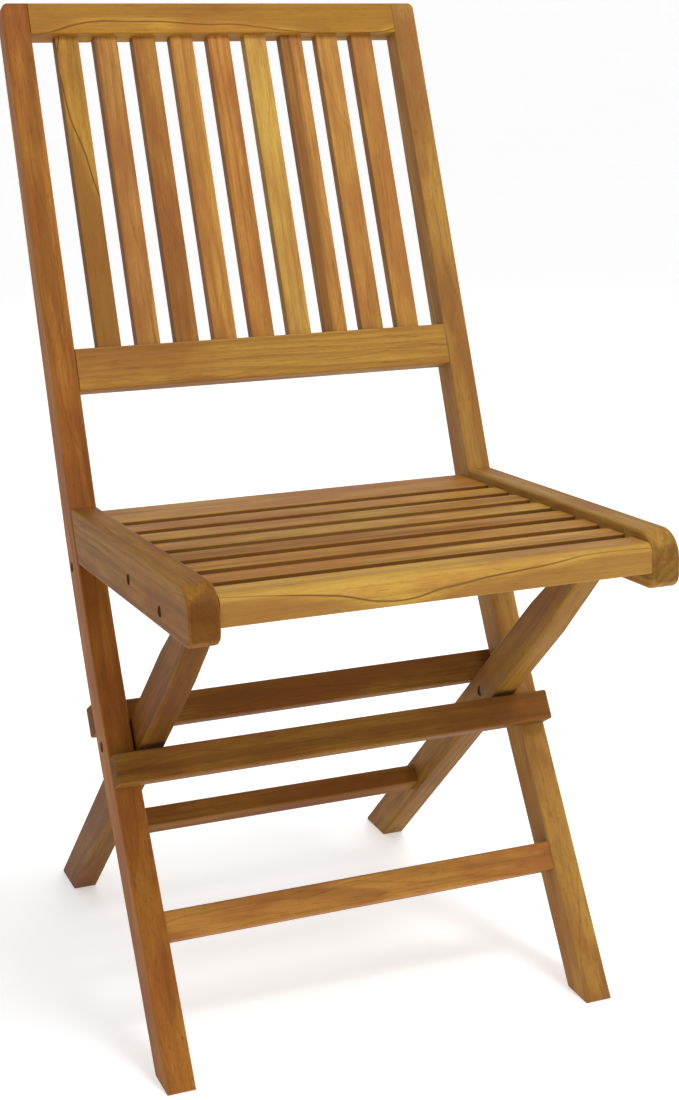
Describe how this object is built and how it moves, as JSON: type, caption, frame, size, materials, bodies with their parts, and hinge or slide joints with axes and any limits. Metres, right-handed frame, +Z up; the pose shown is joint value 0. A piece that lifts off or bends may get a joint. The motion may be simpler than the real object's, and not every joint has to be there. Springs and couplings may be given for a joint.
{
  "type": "folding slatted chair",
  "caption": "Folding wooden chair with a slatted back and seat, crossed legs and pivots that let it fold.",
  "frame": {"origin": "centre of the chair's bounding box at floor level", "axes": "+Z up, the chair faces -Y, +X is to the right seen from the front"},
  "size_m": [0.426, 0.5643, 0.8894],
  "materials": {
    "frame_teak": "satin oiled teak, reddish golden brown",
    "back_slat_teak": "satin oiled teak, each slat a different brown",
    "seat_slat_teak": "satin oiled teak, golden brown",
    "seat_rail_teak": "satin oiled teak, golden brown",
    "rear_leg_teak": "satin oiled teak, reddish brown",
    "pivot_steel": "dull brushed steel"
  },
  "bodies": {
    "back_frame": {"back_slat_1": "back_slat_teak", "back_slat_2": "back_slat_teak", "back_slat_3": "back_slat_teak", "back_slat_4": "back_slat_teak", "back_slat_5": "back_slat_teak", "back_slat_6": "back_slat_teak", "back_slat_7": "back_slat_teak", "back_slat_8": "back_slat_teak", "back_slat_9": "back_slat_teak", "crossing_pins": "pivot_steel", "front_crossbar": "frame_teak", "front_stretcher": "frame_teak", "link_pins": "pivot_steel", "link_sleeves": "pivot_steel", "lower_back_rail": "frame_teak", "rear_crossbar": "frame_teak", "stile_left": "frame_teak", "stile_right": "frame_teak", "top_rail": "frame_teak"},
    "rear_legs": {"rear_leg_left": "rear_leg_teak", "rear_leg_right": "rear_leg_teak", "rear_stretcher": "rear_leg_teak", "crossing_washers": "pivot_steel", "leg_pivot_studs": "pivot_steel"},
    "link_left": {"link_arm_left": "pivot_steel"},
    "link_right": {"link_arm_right": "pivot_steel"},
    "seat": {"seat_front_rail": "seat_slat_teak", "seat_link_pins": "pivot_steel", "seat_link_sleeves": "pivot_steel", "seat_pivot_studs": "pivot_steel", "seat_rail_left": "seat_rail_teak", "seat_rail_right": "seat_rail_teak", "seat_rear_slat": "seat_slat_teak", "seat_slat_1": "seat_slat_teak", "seat_slat_2": "seat_slat_teak", "seat_slat_3": "seat_slat_teak", "seat_slat_4": "seat_slat_teak", "seat_slat_5": "seat_slat_teak", "seat_slat_6": "seat_slat_teak"}
  },
  "joints": [
    {"name": "rear_leg_fold", "type": "hinge", "parent": "back_frame", "child": "rear_legs", "pos_m": [0, -0.01916, 0.246], "axis": [-1, 0, 0], "range_deg": [0, 57.5]},
    {"name": "link_left_swing", "type": "hinge", "parent": "back_frame", "child": "link_left", "pos_m": [-0.1597, 0.06544, 0.39], "axis": [-1, 0, 0], "range_deg": [0, 79.5]},
    {"name": "link_right_swing", "type": "hinge", "parent": "back_frame", "child": "link_right", "pos_m": [0.1597, 0.06544, 0.39], "axis": [-1, 0, 0], "range_deg": [0, 79.5]},
    {"name": "seat_swing", "type": "hinge", "parent": "link_right", "child": "seat", "pos_m": [0, -0.11996, 0.4305], "axis": [1, 0, 0], "range_deg": [0, 142.8]}
  ],
  "couplings": [
    {"joint": "link_left_swing", "follows": "rear_leg_fold", "ratio": 1.3814},
    {"joint": "link_right_swing", "follows": "rear_leg_fold", "ratio": 1.3814},
    {"joint": "seat_swing", "follows": "rear_leg_fold", "ratio": 2.4819}
  ]
}
